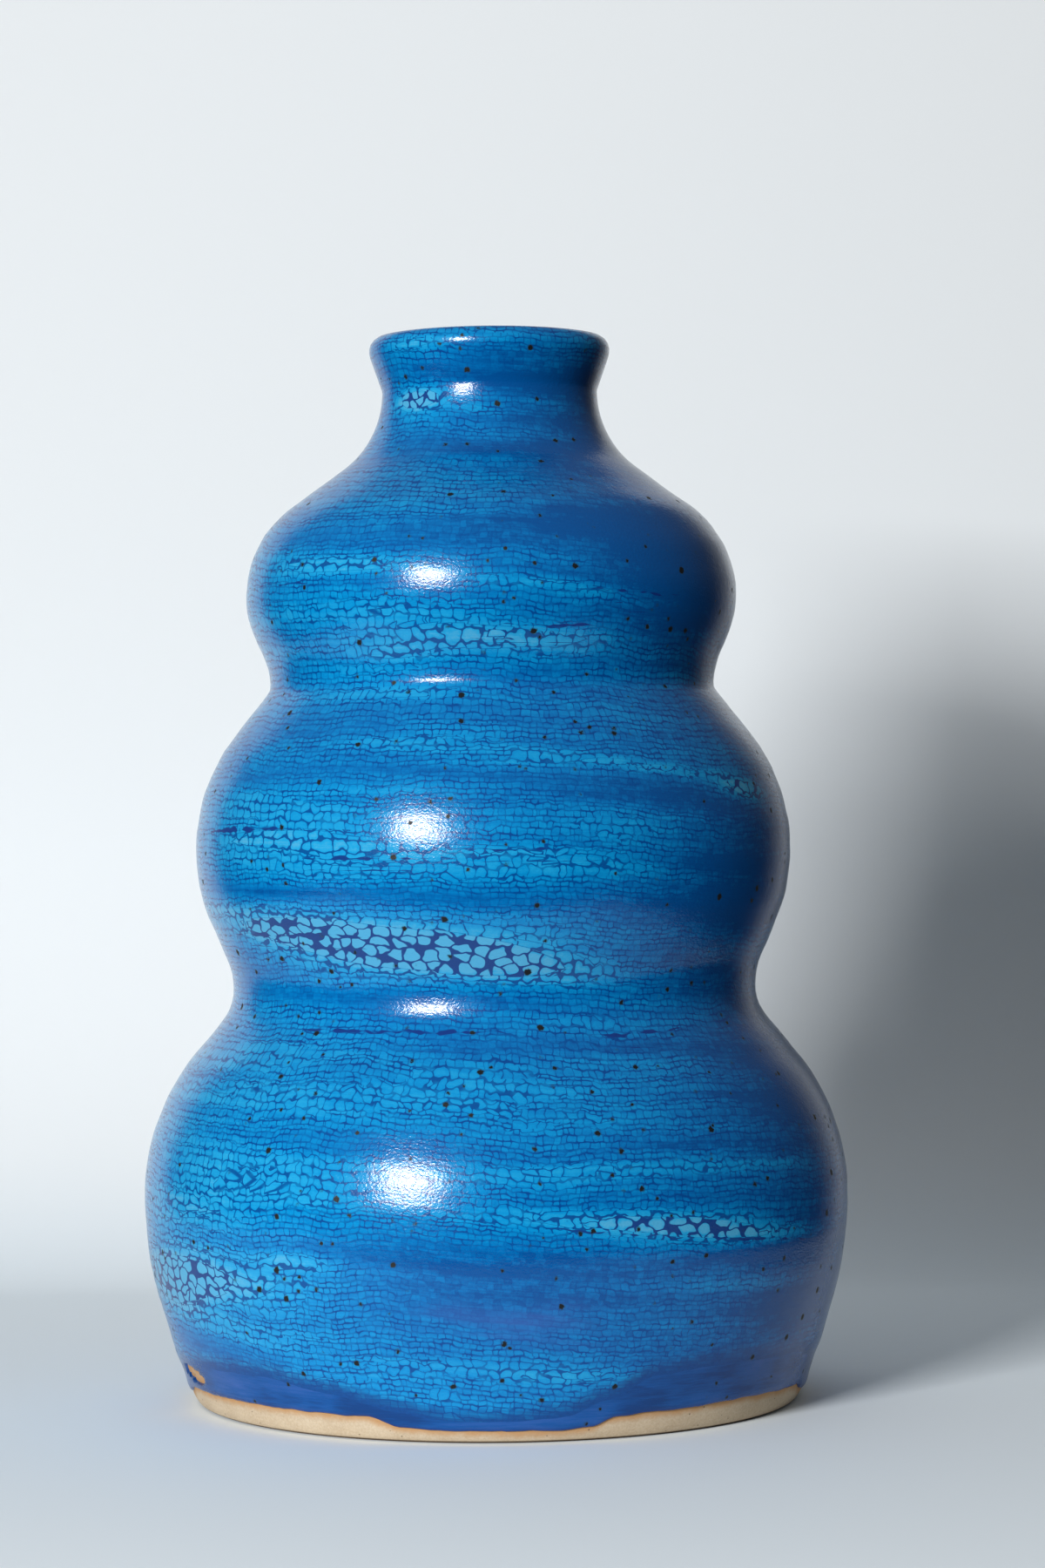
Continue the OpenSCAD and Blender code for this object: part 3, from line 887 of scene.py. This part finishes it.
def crackle_material(glaze):
    """The second coat: islands of pale blue that shrank apart over the dark coat."""
    mix = new_recipe("crackle_glaze")
    place = mix.place()
    x, z = mix.split(place)[::2]
    brushed_on = mix.read("glaze_load")

    # The brush went round with a slow drift up and down
    drift = (mix.cloud(place, (70, 70, 60), 1.0) - 0.5) * 7.0 + x * 0.05
    brush = mix.vector("ADD", place, mix.axes(0.0, 0.0, drift))
    shiver = mix.cloud(place, (2.6, 2.6, 2.2), 1.0, out="Color")
    shake_along, shake_up = mix.split(mix.vector("SUBTRACT", shiver, (0.5, 0.5, 0.5)))[:2]
    sway = (mix.cloud(place, (13, 13, 40), 0.0) - 0.5) * 2.6
    tear_x, tear_y, tear_z = mix.split(mix.vector("ADD", brush, mix.axes(0.0, 0.0, sway)))
    turn = mix.sum("ARCTAN2", tear_x, 0.0 - tear_y)
    radius = mix.sum("SQRT", tear_x * tear_x + tear_y * tear_y)

    def load_at(turn, height):
        """How heavy the coat is: wide bands, then narrow streaks, all drawn out round the vase."""
        where = mix.axes(mix.sum("SINE", turn) * MEAN_RADIUS, mix.sum("COSINE", turn) * MEAN_RADIUS, height)
        bands = mix.cloud(where, (95, 95, 10), 1.0)
        streaks = mix.cloud(where, (34, 34, 2.6), 2.0, 0.55)
        return (bands - 0.5) * 0.50 + (streaks - 0.5) * 0.60 + 0.40 + brushed_on

    # The vase unrolled: one girth for each lobe, and cracks where one girth ends
    girth = FIRST_GIRTH
    step = 99.0
    for height, change in GIRTHS:
        girth = mix.sum("GREATER_THAN", tear_z, height) * change + girth
        step = mix.sum("MINIMUM", step, abs(tear_z - height))

    def round_cells(size, loose, shake):
        """Round cells of one size: load at the middle, distance to the crack, and tone."""
        across = turn * girth + shake_along * shake
        up = tear_z + shake_up * shake
        flat = mix.axes(across * (1 / size), up * (CELL_STRETCH / size), 0.0)
        first = mix.cells(flat, "F1", loose, "2D")
        second = mix.cells(flat, "F2", loose, "2D")
        middle_x, middle_y = mix.split(first["Position"])[:2]
        middle_turn = middle_x * size / girth
        middle_load = load_at(middle_turn, middle_y * (size / CELL_STRETCH))
        seam = mix.fade(abs(middle_turn), 3.0, 3.02, 0.0, 9.0)
        gap = (second["Distance"] - first["Distance"]) * (0.5 * size)
        gap = mix.sum("SMOOTH_MIN", gap, (0.62 - first["Distance"]) * size, 0.45)
        return middle_load - seam, mix.sum("MINIMUM", gap, step), mix.split(first["Color"])[0]

    def bricks(height, width, corner, shake):
        """Cells in rows, as bricks lie: each row is cut across on its own, with round corners."""
        row = (tear_z + shake_up * shake) * (1 / height)
        level = mix.cells(row, "F1", ROW_LOOSE, "1D")["W"]
        along = mix.cells(row, "DISTANCE_TO_EDGE", ROW_LOOSE, "1D")["Distance"] * height
        start = mix.sum("FRACT", level * 7.13)
        share = mix.sum("FRACT", turn * (0.5 / math.pi) + shake_along * (shake / 320.0) + start)
        # The way round, in steps of 5 mm of radius, so that a row isn't torn where the vase widens
        around = mix.sum("ROUND", radius * (1 / 5)) * (5 * 2 * math.pi)
        way = share * around
        spot = way * (1 / width) + start * ROW_START
        found = mix.cells(spot, "F1", BRICK_LOOSE, "1D")
        across = mix.cells(spot, "DISTANCE_TO_EDGE", BRICK_LOOSE, "1D")["Distance"] * width
        across = mix.sum("MINIMUM", across, mix.sum("MINIMUM", way, around - way))
        middle_turn = ((found["W"] - start * ROW_START) * width / around - start) * (2 * math.pi)
        across = mix.sum("MAXIMUM", corner - 0.05 - across, 0.0)
        along = mix.sum("MAXIMUM", corner - along, 0.0)
        gap = corner - mix.sum("SQRT", across * across + along * along)
        return (middle_turn, level * height), gap, mix.split(found["Color"])[0]

    load = load_at(turn, z + drift)
    uneven = mix.cloud(brush, (2.6, 2.6, 1.5), 1.0)
    # Where the coat is thin the cracks close up and only brush marks are left
    shown = mix.fade(load, 0.02, 0.36, 0.12, 0.74) * mix.fade(uneven, 0.34, 0.62, 0.55, 1.3)
    fine = glaze.fine_cell / MM
    gap, tone = bricks(fine, fine * 1.4, corner=0.38, shake=1.3)[1:]
    gap = gap - FINE_CRACK
    middle = glaze.middle_cell / MM
    small = glaze.small_cell / MM
    middle_spot, middle_gap, middle_tone = bricks(middle, middle * 1.3, corner=0.60, shake=2.3)
    small_spot, small_gap, small_tone = bricks(small, small * 1.4, corner=0.88, shake=3.0)
    large = glaze.large_cell / MM
    large_load, large_gap, large_tone = round_cells(large, loose=0.78, shake=2.0)
    small_load = load_at(*small_spot)
    marked = mix.fade(uneven, 0.30, 0.60, 0.50, 0.90)
    larger_cells = (
        (load_at(*middle_spot), MIDDLE_FROM, middle_gap - MIDDLE_CRACK, middle_tone, marked),
        (small_load, SMALL_FROM, small_gap - WIDE_CRACK, small_tone, 0.88),
        (large_load, LARGE_FROM, large_gap - WIDE_CRACK, large_tone, 0.94),
    )
    for cell_load, least, cell_gap, cell_tone, cell_shown in larger_cells:
        use = mix.fade(cell_load, least, least + SWITCH)
        gap = mix.pick(use, gap, cell_gap)
        tone = mix.pick(use, tone, cell_tone)
        shown = mix.pick(use, shown, cell_shown)
    body = mix.pick(use, load, large_load)
    # A crack runs round each field of larger cells
    small_rim = abs(small_load - (SMALL_FROM + SWITCH / 2)) * 34.0
    large_rim = abs(large_load - (LARGE_FROM + SWITCH / 2)) * 34.0
    gap = mix.sum("MINIMUM", gap, mix.sum("MINIMUM", small_rim, large_rim) - FINE_CRACK)

    # Long cracks that opened wide, here more and there less
    wander = (mix.cloud(place, (4, 4, 3), 1.0) - 0.5) * 1.5 + mix.read("rift_away")
    width = mix.read("rift_width")
    opened_by = width * mix.fade(mix.cloud(place, 3.4, 1.0), 0.40, 0.66, 0.05, 1.7)
    rift = mix.fade(abs(wander) - opened_by, -0.12, 0.08, 1.0, 0.0) * mix.fade(width, 0.02, 0.08)
    gap = gap - rift
    shown = mix.sum("MAXIMUM", shown, rift * 0.95)

    crack = (1.0 - mix.fade(gap, 0.0, 0.13)) * shown
    mottle = mix.cloud(place, 0.55, 2.0, 0.6)
    hair = mix.cloud(brush, (9, 9, 0.32), 2.0, 0.6)
    depth = mix.fade(gap, 0.05, 0.75)
    level = body + (tone - 0.5) * 0.14 + (hair - 0.5) * 0.30 + (mottle - 0.5) * 0.22
    # Painted shade: the colour darkens steadily towards the right, the side away from the lamp
    level = level + (depth - 0.5) * 0.14 * shown - x * 0.0027
    skin = mix.ramp(level, [
        (0.0, glaze.plain), (0.22, glaze.thin), (0.50, glaze.sound), (0.80, glaze.heavy),
        (1.0, glaze.heaviest),
    ])
    under = mix.ramp(body, [(0.0, glaze.crack), (0.66, glaze.crack), (0.98, glaze.pool)])
    shade = mix.blend(crack, skin, mix.blend(rift, under, glaze.pool))

    # A violet tinge where the coat is thin low down on the left
    tinge = mix.fade(mix.cloud(place, (38, 38, 13), 1.0), 0.46, 0.66) * mix.fade(load, 0.05, 0.36, 0.60, 0.0)
    tinge = tinge * mix.fade(z, 36.0, 52.0, 1.0, 0.0) * mix.fade(x, 8.0, 28.0, 1.0, 0.0)
    shade = mix.blend(tinge, shade, glaze.violet)
    # The coat runs out over the base coat at its lower edge
    edge = mix.read("above_edge") * (1 / MM)
    bare = mix.fade(edge + (hair - 0.5) * 2.6 + (tone - 0.5) * 0.7, 0.2, 3.8, 1.0, 0.0)
    shade = mix.blend(bare, shade, mix.blend(mottle, glaze.base, glaze.base_dark))
    shade, dark = speckle(mix, place, glaze, shade, halo=0.55)
    rough = crack * 0.06 + 0.175 + dark * 0.35
    return mix.finish(mix.surface(shade, rough, glaze_relief(mix, place), shine=0.4))


def base_material(glaze):
    """The dark coat, plain and brushed, where the second coat left it bare."""
    mix = new_recipe("base_glaze")
    place = mix.place()
    hair = mix.cloud(place, (7, 7, 0.5), 3.0, 0.7)
    patch = mix.cloud(place, (16, 16, 6), 2.0)
    shade = mix.ramp(hair * 0.35 + patch * 0.65, [
        (0.40, glaze.base_dark), (0.52, glaze.base), (0.78, glaze.violet),
    ])
    # It gathered darker along its lower edge
    gathered = mix.fade(mix.read("above_edge") * (1 / MM), 0.1, 0.8, 1.0, 0.0)
    shade = mix.blend(gathered * 0.5, shade, glaze.pool)
    shade, dark = speckle(mix, place, glaze, shade, halo=0.5)
    return mix.finish(mix.surface(shade, dark * 0.35 + 0.19, glaze_relief(mix, place), shine=0.4))


def liner_material(glaze):
    """The coat inside: thin, even and a little cloudy."""
    mix = new_recipe("liner_glaze")
    place = mix.place()
    patch = mix.cloud(place, (14, 14, 5), 3.0)
    rings = mix.cloud(place, (40, 40, 1.6), 2.0)
    shade = mix.ramp(patch * 0.6 + rings * 0.4, [
        (0.3, glaze.base_dark), (0.55, glaze.liner), (0.75, glaze.sound),
    ])
    shade = speckle(mix, place, glaze, shade, halo=0.0)[0]
    return mix.finish(mix.surface(shade, 0.18, rings * 0.12 + patch * 0.05))


def clay_material(clay):
    """Bare stoneware: buff, sandy, with iron grains, and flashed amber along the glaze."""
    mix = new_recipe("bare_stoneware")
    place = mix.place()
    x, y, z = mix.split(place)
    patch = mix.cloud(place, 7, 3.0, 0.6)
    sand = mix.cloud(place, 0.42, 2.0, 0.7)
    rings = mix.cloud(place, (50, 50, 0.5), 2.0)
    shade = mix.ramp(patch * 0.4 + sand * 0.6, [(0.34, clay.buff), (0.62, clay.pale)])
    below = mix.read("below_glaze") * (1 / MM)
    flash = mix.fade(below + (mix.cloud(place, 2.4, 2.0) - 0.5) * 1.2, 0.0, 1.7, 1.0, 0.0)
    shade = mix.blend(flash * 0.85, shade, clay.amber)
    # Painted shadow: the lowest edge is darkened, in the colour of the iron grains, in place of the shade
    # under the foot where it stands on the table
    away = mix.sum("SQRT", x * x + y * y)
    painted_foot_shadow = mix.fade(z, 0.30, 0.62, 0.85, 0.0) * mix.fade(away, 54.7, 55.4)
    shade = mix.blend(painted_foot_shadow, shade, clay.grain)
    grain = mix.cells(mix.scaled(place, 1 / 1.5))
    rare = mix.fade(mix.split(grain["Color"])[0], 0.56, 0.60)
    dot = mix.fade(grain["Distance"] * 1.5, 0.08, 0.22, 1.0, 0.0) * rare
    shade = mix.blend(dot * 0.7, shade, clay.grain)
    relief = sand * 0.035 + rings * 0.05 - dot * 0.05
    return mix.finish(mix.surface(shade, mix.fade(sand, 0.2, 0.8, 0.72, 0.9), relief, shine=0.3))


def paper_material(studio):
    """Matt paper for the table and backdrop. From behind, the camera looks through it."""
    mix = new_recipe("studio_paper")
    place = mix.place()
    shade = mix.blend(mix.fade(mix.split(place)[2], 0.0, 30.0), studio.table, studio.paper)
    shade = mix.blend(mix.cloud(place, 160, 2.0) * 0.10, shade, [c * 0.92 for c in studio.paper])
    surface = mix.surface(shade, 0.85, mix.cloud(place, 3, 3.0) * 0.02, shine=0.2)
    seen = mix.node("ShaderNodeLightPath")["Is Camera Ray"]
    behind = mix.node("ShaderNodeNewGeometry")["Backfacing"]
    clear = mix.node("ShaderNodeBsdfTransparent", (), 0)
    return mix.finish(mix.node("ShaderNodeMixShader", (seen * behind, surface, clear), 0))


class VASE_OT_clay(bpy.types.Operator):
    """Throw the clay: foot, lobes, neck, rolled lip and the hollow inside"""
    bl_idname = "vase.throw_clay"
    bl_label = "Throw the clay"

    def execute(self, context):
        form = context.scene.vase_form
        outline = Outline(form)
        ring_outer = form.foot_radius - form.foot_bevel_width
        ring_inner = ring_outer - form.foot_ring_width
        recess = ring_inner - form.foot_recess_slope
        # The hollow under the foot, with the tracks of the trimming tool
        points = []
        for i in range(TRACK_POINTS + 1):
            r = recess * i / TRACK_POINTS
            track = TRACK_DEPTH * abs(math.sin(math.pi * r / TRACK_WIDTH))
            points.append((r, form.foot_recess - track))
        points.append((recess + 0.5 * MM, form.foot_recess - 0.25 * MM))
        points += [(ring_inner + r * MM, z * MM) for r, z in RING_INNER_EDGE]
        points += [(ring_inner + share * form.foot_ring_width, 0.0) for share in RING_FLAT]
        points += [(ring_outer + r * MM, z * MM) for r, z in RING_BEVEL]
        outside = walk(outline.flank + outline.flare[1:], lambda z, way: (0.5 if z < 12 * MM else 2.5) * MM)
        inside = walk(outline.roll(last=180) + outline.mouth + outline.inside, lambda z, way: 2.2 * MM)
        points += [(p[0], p[1]) for p in outside + inside[1:-1]]
        points.append((0.0, outline.inside[-1][1]))
        ups = [i / (len(points) - 1) for i in range(len(points))]
        piece = turn_piece("clay_vase", points, ups, steps=288)
        gaps = []
        for x, y, z in corners_of(piece):
            if z > 20 * MM or math.hypot(x, y) < ring_inner:
                gaps.append(9 * MM)
                continue
            edge = edge_height(BASE_EDGE, turn_of(x, y))
            rim = (1 - in_finger_mark(x, y, z)) * MARK_RISE / 2
            gaps.append(max(rim, edge - z) if rim > -MM else edge - z)
        mark(piece, "below_glaze", gaps)
        hand_in(piece, clay_material(context.scene.vase_clay), "stoneware_body")
        return {"FINISHED"}


class VASE_OT_liner(bpy.types.Operator):
    """Pour the coat inside, from the throat down to the floor"""
    bl_idname = "vase.pour_liner"
    bl_label = "Pour the liner"

    def execute(self, context):
        glaze = context.scene.vase_glaze
        path = walk(Outline(context.scene.vase_form).inside, lambda z, way: 2.0 * MM)
        shown = [off(p, glaze.liner_thickness) for p in path]
        shown[-1] = (0.0, shown[-1][1])
        piece = turn_coat("inside_coat", shown, path, path, inner=0.0, share=0.9, steps=160)
        hand_in(piece, liner_material(glaze), "liner_glaze")
        return {"FINISHED"}


class VASE_OT_base(bpy.types.Operator):
    """Dip the dark coat outside, over the lip and into the throat"""
    bl_idname = "vase.dip_base_coat"
    bl_label = "Dip the base coat"

    def execute(self, context):
        glaze = context.scene.vase_glaze
        outline = Outline(context.scene.vase_form)
        low = 2.3 * MM
        whole = above(outline.flank, low) + outline.flare + outline.roll(last=180) + outline.mouth
        whole += outline.throat_end

        def spacing(z, way):
            if way < 1.4 * MM:
                return 0.14 * MM
            if z < 17 * MM:
                return 0.7 * MM
            if z > NARROW:
                return 0.6 * MM
            return 2.4 * MM if hollow(z) else 4 * MM

        path = walk(whole, spacing)
        shown = []
        for p in path:
            # The edge is rounded, with a low bead behind it
            way = p[4]
            start = min(1.0, way / (0.6 * MM))
            t = glaze.base_thickness * math.sqrt(1 - (1 - start) ** 2)
            t += 0.10 * MM * math.exp(-((way / MM - 1.3) / 0.8) ** 2)
            shown.append(off(p, t))
        back = walk(whole, unseen_step)
        piece = turn_coat("base_coat", shown, path, back, inner=0.0, share=0.9, steps=glaze.steps_round)
        raise_edge(piece, outline, BASE_EDGE, low, reach=26 * MM, seed=0.0)
        press_finger_mark(piece, depth=1.3 * MM)
        hand_in(piece, base_material(glaze), "base_glaze")
        return {"FINISHED"}


class VASE_OT_crackle(bpy.types.Operator):
    """Brush on the pale coat that shrinks into cells"""
    bl_idname = "vase.brush_crackle_coat"
    bl_label = "Brush the crackle coat"

    def execute(self, context):
        glaze = context.scene.vase_glaze
        outline = Outline(context.scene.vase_form)
        low = 3.1 * MM
        share = 0.94
        whole = above(outline.flank, low) + outline.flare + outline.roll(last=128)

        def spacing(z, way):
            if way < 2 * MM:
                return 0.35 * MM
            return 0.65 * MM if z > 188 * MM or z < 9 * MM else 1.45 * MM

        path = walk(whole, spacing)
        total = path[-1][4]
        inner = glaze.base_thickness
        shown = []
        for p in path:
            # It thins out at both of its edges
            t = glaze.crackle_thickness * smooth(total - p[4], -0.1 * MM, 1.9 * MM)
            t *= 0.03 + 0.97 * smooth(p[4], 0, 4.0 * MM)
            shown.append(off(p, inner + t))
        back = walk(whole, unseen_step)
        piece = turn_coat("crackle_coat", shown, path, back, inner, share, glaze.steps_round)
        raise_edge(piece, outline, CRACKLE_EDGE, low, reach=40 * MM, seed=4.0)
        weights = []
        for up, (x, y, z) in zip(marks(piece, "along"), corners_of(piece)):
            way = total * up / share
            on_skin = smooth(way, 2 * MM, 14 * MM) * smooth(total - way, MM, 8 * MM)
            on_skin *= 1 - smooth(z, 172 * MM, 182 * MM)
            weights.append(on_skin if up < share else 0.0)
        weigh(piece, "outside", weights)
        throwing_lines(piece, glaze.throwing_depth, seed=1)
        press_finger_mark(piece, depth=1.6 * MM)
        mark(piece, "glaze_load", brushed(STROKES, corners_of(piece)))
        widths, aways = opened(RIFTS, corners_of(piece))
        mark(piece, "rift_width", widths)
        mark(piece, "rift_away", aways)
        hand_in(piece, crackle_material(glaze), "crackle_glaze")
        return {"FINISHED"}


class VASE_OT_studio(bpy.types.Operator):
    """Set up the table, the backdrop, the lamp and the camera"""
    bl_idname = "vase.set_up_studio"
    bl_label = "Set up the studio"

    def execute(self, context):
        studio = context.scene.vase_studio
        self.lay_paper(studio)
        self.hang_lamp(studio)
        self.place_camera(studio)
        self.fill_room(studio)
        context.scene.view_settings.view_transform = "Standard"
        return {"FINISHED"}

    def lay_paper(self, studio):
        """One sheet: the table's rounded front edge, the table, the sweep and the upright backdrop."""
        wall = studio.backdrop_distance
        bend = studio.sweep_radius
        front = -studio.front_edge
        drop = FRONT_ROUNDING
        quarter = math.pi / 2
        section = [(front - drop * math.cos(a), -drop + drop * math.sin(a)) for a in arc(6, quarter)]
        section += [(wall - bend + bend * math.sin(a), bend - bend * math.cos(a)) for a in arc(32, quarter)]
        section.append((wall, studio.backdrop_height))
        paper = draw_wire("table_and_backdrop", [(-studio.paper_left, y, z) for y, z in section])
        edit_all()
        paper_width = studio.paper_left + studio.paper_right
        bpy.ops.mesh.extrude_region_move(TRANSFORM_OT_translate={"value": (paper_width, 0, 0)})
        bpy.ops.object.mode_set(mode="OBJECT")
        bpy.ops.object.shade_smooth()
        # The side that faces the vase is the paper's front
        floor = next(f for f in paper.data.polygons if abs(f.normal.z) > 0.999)
        if floor.normal.z < 0:
            edit_all()
            bpy.ops.mesh.flip_normals()
            bpy.ops.object.mode_set(mode="OBJECT")
        paper.data.materials.append(paper_material(studio))

    def hang_lamp(self, studio):
        """One soft lamp in front on the left."""
        turn = studio.lamp_turn
        place = Vector((
            studio.lamp_distance * math.sin(turn), -studio.lamp_distance * math.cos(turn),
            studio.lamp_height,
        ))
        put_down()
        bpy.ops.object.light_add(type="AREA", location=place)
        lamp = bpy.context.object
        lamp.name = "softbox"
        lamp.data.shape = "RECTANGLE"
        lamp.data.size = studio.lamp_width
        lamp.data.size_y = studio.lamp_rise
        lamp.data.energy = studio.lamp_power
        aim = Vector((studio.lamp_aim, studio.backdrop_distance, LAMP_AIM_HEIGHT))
        lamp.rotation_euler = (aim - place).to_track_quat("-Z", "Y").to_euler()
        lamp.visible_camera = False

    def place_camera(self, studio):
        """Where the photograph was taken from."""
        put_down()
        bpy.ops.object.camera_add(
            location=(studio.camera_side, -studio.camera_distance, studio.camera_height),
            rotation=(CAMERA_PITCH, studio.camera_tilt, 0),
        )
        camera = bpy.context.object
        camera.name = "camera"
        camera.data.sensor_fit = "AUTO"
        camera.data.sensor_width = 36
        camera.data.lens = CAMERA_LENS
        camera.data.clip_start = 0.01
        camera.data.clip_end = 20
        camera.data.dof.use_dof = False
        bpy.context.scene.camera = camera

    def fill_room(self, studio):
        """Weak light from all round. The pale room is seen directly, and in the glaze behind the vase."""
        mix = Recipe(bpy.data.worlds.new("pale_room"))
        bpy.context.scene.world = mix.holder
        x, y, z = mix.split(mix.node("ShaderNodeTexCoord")["Generated"])
        # The weak light comes more from above
        strength = mix.fade(z, -0.1, 0.9, 0.3 * studio.fill, 3.0 * studio.fill, "LINEAR")
        weak = mix.node("ShaderNodeBackground", (FILL_TINT, strength), 0)
        seen = mix.node("ShaderNodeBackground", (paint(studio.room), 1.0), 0)
        # The glaze mirrors a room that is pale behind the vase, and dimmer on the side away from the lamp
        ray = mix.node("ShaderNodeLightPath")
        mirrored = mix.sum("MAXIMUM", ray["Is Glossy Ray"], ray["Is Transmission Ray"])
        mirrored = mirrored * mix.fade(y, 0.62, 0.90) * mix.fade(x, 0.15, 0.50, 1.0, 0.46, "LINEAR")
        share = mix.sum("MAXIMUM", ray["Is Camera Ray"], mirrored)
        mix.finish(mix.node("ShaderNodeMixShader", (share, weak, seen), 0), "ShaderNodeOutputWorld")


class VASE_PT_panel(bpy.types.Panel):
    """Makes the vase step by step"""
    bl_idname = "VASE_PT_panel"
    bl_label = "Vase"
    bl_space_type = "VIEW_3D"
    bl_region_type = "UI"
    bl_category = "Vase"

    def draw(self, context):
        layout = self.layout
        for step in STEPS:
            layout.operator(step.bl_idname)
        for name in GROUPS:
            box = layout.box()
            group = getattr(context.scene, name)
            for key in group.bl_rna.properties.keys():
                if key not in ("rna_type", "name"):
                    box.prop(group, key)


STEPS = (VASE_OT_clay, VASE_OT_liner, VASE_OT_base, VASE_OT_crackle, VASE_OT_studio)
GROUPS = {
    "vase_form": VaseForm,
    "vase_clay": VaseClay,
    "vase_glaze": VaseGlaze,
    "vase_studio": VaseStudio,
}


def register():
    for group in GROUPS.values():
        bpy.utils.register_class(group)
    for step in STEPS:
        bpy.utils.register_class(step)
    bpy.utils.register_class(VASE_PT_panel)
    for name, group in GROUPS.items():
        setattr(bpy.types.Scene, name, PointerProperty(type=group))


def unregister():
    for name in GROUPS:
        delattr(bpy.types.Scene, name)
    bpy.utils.unregister_class(VASE_PT_panel)
    for step in reversed(STEPS):
        bpy.utils.unregister_class(step)
    for group in reversed(list(GROUPS.values())):
        bpy.utils.unregister_class(group)


def make_vase():
    register()
    bpy.ops.vase.throw_clay()
    bpy.ops.vase.pour_liner()
    bpy.ops.vase.dip_base_coat()
    bpy.ops.vase.brush_crackle_coat()
    bpy.ops.vase.set_up_studio()
    put_down()


if __name__ == "__main__":
    make_vase()
